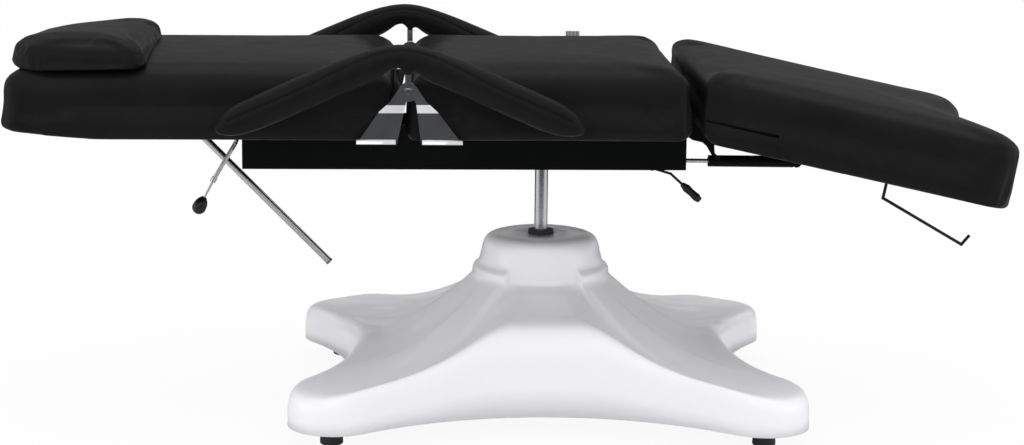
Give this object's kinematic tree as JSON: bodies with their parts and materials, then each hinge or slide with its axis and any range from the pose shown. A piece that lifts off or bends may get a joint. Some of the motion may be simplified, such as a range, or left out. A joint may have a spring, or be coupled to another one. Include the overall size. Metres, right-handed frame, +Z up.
{
  "type": "massage table",
  "caption": "Three-section black salon treatment table with tilting armrests and a loose pillow, on a height-adjustable column with a white moulded four-lobed base.",
  "frame": {"origin": "on the floor under the middle of the table's bounding box", "axes": "X runs from the head end to the foot end, Y from the near long side to the far one, Z up"},
  "size_m": [1.8279, 0.8382, 0.7253],
  "materials": {
    "cover_black": "matt black synthetic leather with a fine grain",
    "base_white": "glossy white moulded plastic",
    "frame_black": "black powder coat",
    "plate_chrome": "bright plated steel sheet",
    "rod_chrome": "bright plated round steel",
    "steel_bright": "zinc plated fastener",
    "pump_grey": "dark grey paint",
    "rubber_black": "black rubber",
    "plastic_black": "black moulded plastic",
    "wire_black": "black coated wire",
    "board_wood": "plain plywood",
    "tab_grey": "grey woven tape"
  },
  "bodies": {
    "base": {"base_shell": "base_white", "base_frame": "frame_black", "rubber_feet": "rubber_black", "foot_studs": "steel_bright", "shell_posts": "frame_black", "pump_tube": "pump_grey", "pump_block": "pump_grey", "rod_seal": "rubber_black", "pedal_pin": "steel_bright"},
    "pedal": {"pedal_lever": "pump_grey", "pedal_pad": "rubber_black"},
    "lift": {"lift_rod": "rod_chrome", "thrust_washer": "pump_grey"},
    "bed": {"swivel_hub": "frame_black", "channel": "frame_black", "seat_rail": "frame_black", "seat_yoke": "plate_chrome", "seat_bolts": "steel_bright", "hinge_bolts": "rod_chrome", "seat_board": "board_wood", "seat_cushion": "cover_black", "pull_tab": "tab_grey", "leg_hinge_pin": "steel_bright", "back_stay_pin": "frame_black", "leg_stay_pin": "frame_black"},
    "back": {"back_yoke": "plate_chrome", "back_bolts": "steel_bright", "back_board": "board_wood", "back_cushion": "cover_black", "back_stay_lug": "frame_black", "tube_arm_lug": "frame_black"},
    "pillow": {"pillow": "cover_black"},
    "back_stay": {"back_stay_cylinder": "frame_black"},
    "back_rod": {"back_stay_rod": "rod_chrome", "back_release_head": "pump_grey"},
    "back_lever": {"back_release_lever": "rod_chrome", "back_release_knob": "plastic_black"},
    "leg": {"leg_frame": "frame_black", "leg_board": "board_wood", "leg_cushion": "cover_black", "leg_stay_lug": "frame_black", "wire_hook": "wire_black", "leg_bolts": "steel_bright"},
    "leg_rod": {"leg_stay_rod": "rod_chrome", "leg_release_head": "pump_grey"},
    "leg_stay": {"leg_stay_cylinder": "frame_black"},
    "leg_lever": {"leg_release_lever": "wire_black", "leg_release_grip": "plastic_black"},
    "tube": {"tube_arm": "rod_chrome", "tube_arm_plug": "pump_grey"},
    "arm_near": {"armrest_near": "cover_black", "armrest_bracket_near": "plate_chrome"},
    "arm_far": {"armrest_far": "cover_black", "armrest_bracket_far": "plate_chrome"}
  },
  "joints": [
    {"name": "pedal_press", "type": "hinge", "parent": "base", "child": "pedal", "pos_m": [0.06286, 0.077, 0.072], "axis": [1, 0, 0], "range_deg": [-7, 0], "stiffness_Nm_per_rad": 60, "springref_deg": 6.88},
    {"name": "lift_height", "type": "slide", "parent": "base", "child": "lift", "axis": [0, 0, 1], "range_m": [-0.06, 0.14]},
    {"name": "bed_swivel", "type": "hinge", "parent": "lift", "child": "bed", "pos_m": [0.06286, 0, 0.541], "axis": [0, 0, 1], "continuous": true},
    {"name": "back_recline", "type": "hinge", "parent": "bed", "child": "back", "pos_m": [-0.18964, 0, 0.635], "axis": [0, 1, 0], "range_deg": [0, 68]},
    {"name": "pillow_lift", "type": "slide", "parent": "back", "child": "pillow", "axis": [0, 0, 1], "range_m": [0, 0.1]},
    {"name": "tube_swing", "type": "hinge", "parent": "back", "child": "tube", "pos_m": [-0.63964, 0.15, 0.529], "axis": [0, 1, 0], "range_deg": [-42, 8]},
    {"name": "back_stay_turn", "type": "hinge", "parent": "bed", "child": "back_stay", "pos_m": [-0.24764, 0, 0.499], "axis": [0, 1, 0], "range_deg": [0, 61.5]},
    {"name": "back_stay_extend", "type": "slide", "parent": "back_stay", "child": "back_rod", "axis": [-0.9966, 0, 0.0824], "range_m": [0, 0.16]},
    {"name": "back_release", "type": "hinge", "parent": "back_rod", "child": "back_lever", "pos_m": [-0.5099, 0, 0.51666], "axis": [0, 1, 0], "range_deg": [-8, 0], "stiffness_Nm_per_rad": 6, "springref_deg": 11.46},
    {"name": "leg_tilt", "type": "hinge", "parent": "bed", "child": "leg", "pos_m": [0.32386, 0, 0.539], "axis": [0, -1, 0], "range_deg": [-30, 2]},
    {"name": "leg_stay_turn", "type": "hinge", "parent": "bed", "child": "leg_rod", "pos_m": [0.26886, 0, 0.463], "axis": [0, -1, 0], "range_deg": [-25.6, 1.75]},
    {"name": "leg_stay_extend", "type": "slide", "parent": "leg_rod", "child": "leg_stay", "axis": [1, 0, -0.0072], "range_m": [-0.0446, 0.003]},
    {"name": "leg_release", "type": "hinge", "parent": "leg_rod", "child": "leg_lever", "pos_m": [0.27276, 0, 0.44797], "axis": [0, 1, 0], "range_deg": [-8, 0], "stiffness_Nm_per_rad": 4, "springref_deg": 11.46},
    {"name": "armrest_near_tilt", "type": "hinge", "parent": "bed", "child": "arm_near", "pos_m": [-0.18964, -0.324, 0.635], "axis": [0, 1, 0], "range_deg": [-25, 25]},
    {"name": "armrest_far_tilt", "type": "hinge", "parent": "bed", "child": "arm_far", "pos_m": [-0.18964, 0.324, 0.635], "axis": [0, 1, 0], "range_deg": [-25, 25]}
  ],
  "couplings": [
    {"joint": "back_stay_turn", "follows": "back_recline", "ratio": 0.9},
    {"joint": "back_stay_extend", "follows": "back_recline", "m_per_rad": 0.133},
    {"joint": "leg_stay_turn", "follows": "leg_tilt", "ratio": 0.848},
    {"joint": "leg_stay_extend", "follows": "leg_tilt", "m_per_rad": 0.0845}
  ]
}
